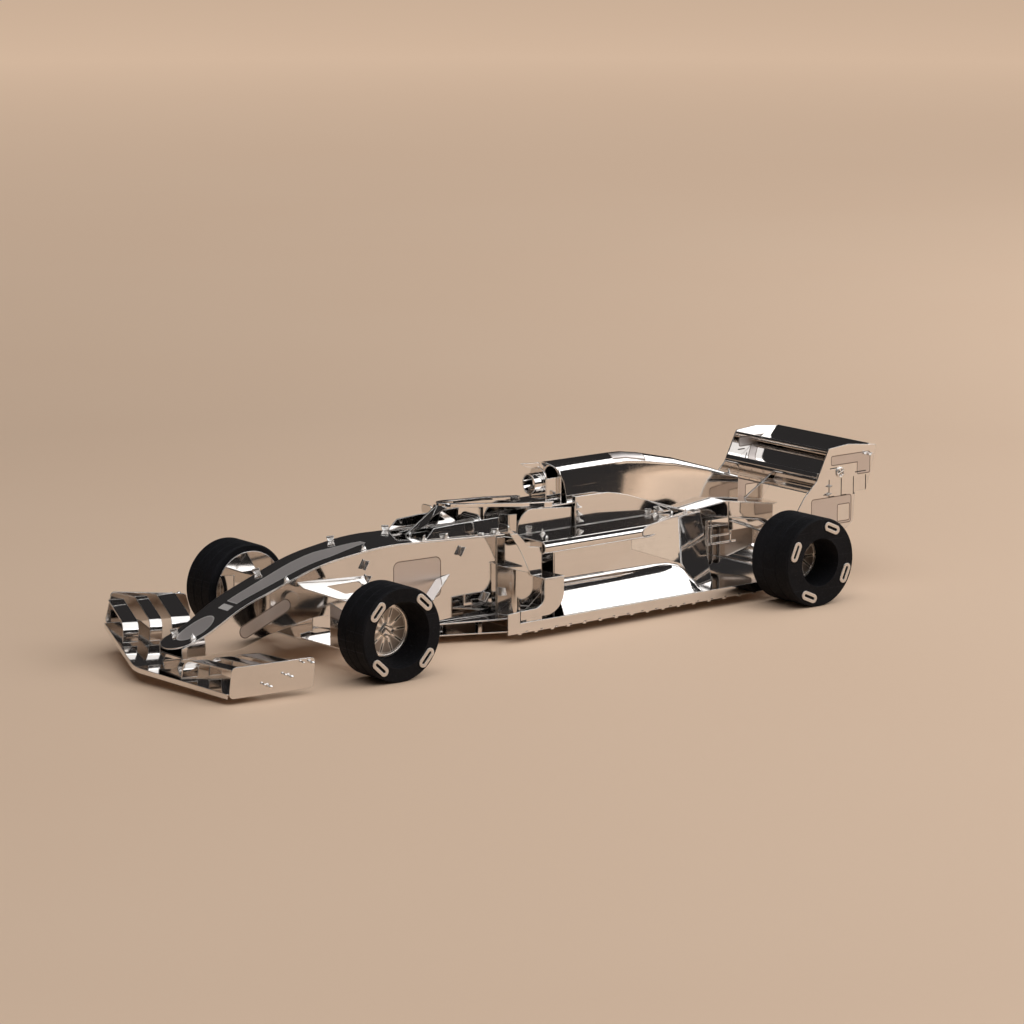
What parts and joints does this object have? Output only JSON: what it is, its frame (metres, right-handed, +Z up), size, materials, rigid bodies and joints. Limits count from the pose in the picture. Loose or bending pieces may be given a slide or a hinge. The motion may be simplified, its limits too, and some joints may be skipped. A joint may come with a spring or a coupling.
{
  "type": "sheet steel display model of an open wheel racing car",
  "caption": "Folded stainless sheet model of an open wheel racing car, with a cockpit under a guard ring, front and rear wings, side pods and foam tyred wheels that roll.",
  "frame": {"origin": "on the ground under the middle of the model's box", "axes": "+X forwards to the nose, +Y to the car's left, +Z up"},
  "size_m": [0.3594, 0.1226, 0.0649],
  "materials": {
    "sheet_steel": "mirror polished, with fine frosted panels",
    "inner_steel": "plain rolled sheet",
    "hub_steel": "polished, with frosted sectors",
    "clamp_steel": "satin",
    "foam_tyre": "matt foam rubber"
  },
  "bodies": {
    "car": {"air_intake": "sheet_steel", "body_deck": "sheet_steel", "coamings": "sheet_steel", "cockpit_liner": "inner_steel", "diffuser": "inner_steel", "engine_cover": "sheet_steel", "engine_plates": "sheet_steel", "floor": "sheet_steel", "front_carrier_left": "sheet_steel", "front_carrier_right": "sheet_steel", "front_track_rods": "sheet_steel", "front_wing_endplate_left": "sheet_steel", "front_wing_endplate_right": "sheet_steel", "front_wing_flaps": "sheet_steel", "front_wing_main_plane": "sheet_steel", "front_wing_pylons": "sheet_steel", "front_wishbones_left": "sheet_steel", "front_wishbones_right": "sheet_steel", "gearbox": "inner_steel", "halo": "sheet_steel", "head_plates": "sheet_steel", "mirrors": "sheet_steel", "nose_deck": "sheet_steel", "nose_keel": "sheet_steel", "pod_deck_left": "sheet_steel", "pod_deck_right": "sheet_steel", "pod_inlets": "sheet_steel", "pod_skin_left": "sheet_steel", "pod_skin_right": "sheet_steel", "pod_wall_left": "sheet_steel", "pod_wall_right": "sheet_steel", "rear_bulkhead": "inner_steel", "rear_carrier_left": "sheet_steel", "rear_carrier_right": "sheet_steel", "rear_wing_beam": "sheet_steel", "rear_wing_endplates": "sheet_steel", "rear_wing_flap": "sheet_steel", "rear_wing_main_plane": "sheet_steel", "rear_wishbones_left": "sheet_steel", "rear_wishbones_right": "sheet_steel", "seat_back": "sheet_steel", "splitter_tray": "sheet_steel", "steering_wheel": "sheet_steel", "tub_side_left": "sheet_steel", "tub_side_right": "sheet_steel", "turning_vanes": "sheet_steel"},
    "front_wheel_left": {"front_tyre_left": "foam_tyre", "front_hub_left": "hub_steel", "front_tyre_clamps_left": "clamp_steel"},
    "front_wheel_right": {"front_tyre_right": "foam_tyre", "front_hub_right": "hub_steel", "front_tyre_clamps_right": "clamp_steel"},
    "rear_wheel_left": {"rear_tyre_left": "foam_tyre", "rear_hub_left": "hub_steel", "rear_tyre_clamps_left": "clamp_steel"},
    "rear_wheel_right": {"rear_tyre_right": "foam_tyre", "rear_hub_right": "hub_steel", "rear_tyre_clamps_right": "clamp_steel"}
  },
  "joints": [
    {"name": "front_left_spin", "type": "hinge", "parent": "car", "child": "front_wheel_left", "pos_m": [0.09873, 0.05, 0.0188], "axis": [0, 1, 0], "continuous": true},
    {"name": "front_right_spin", "type": "hinge", "parent": "car", "child": "front_wheel_right", "pos_m": [0.09873, -0.05, 0.0188], "axis": [0, 1, 0], "continuous": true},
    {"name": "rear_left_spin", "type": "hinge", "parent": "car", "child": "rear_wheel_left", "pos_m": [-0.11947, 0.05, 0.0188], "axis": [0, 1, 0], "continuous": true},
    {"name": "rear_right_spin", "type": "hinge", "parent": "car", "child": "rear_wheel_right", "pos_m": [-0.11947, -0.05, 0.0188], "axis": [0, 1, 0], "continuous": true}
  ]
}
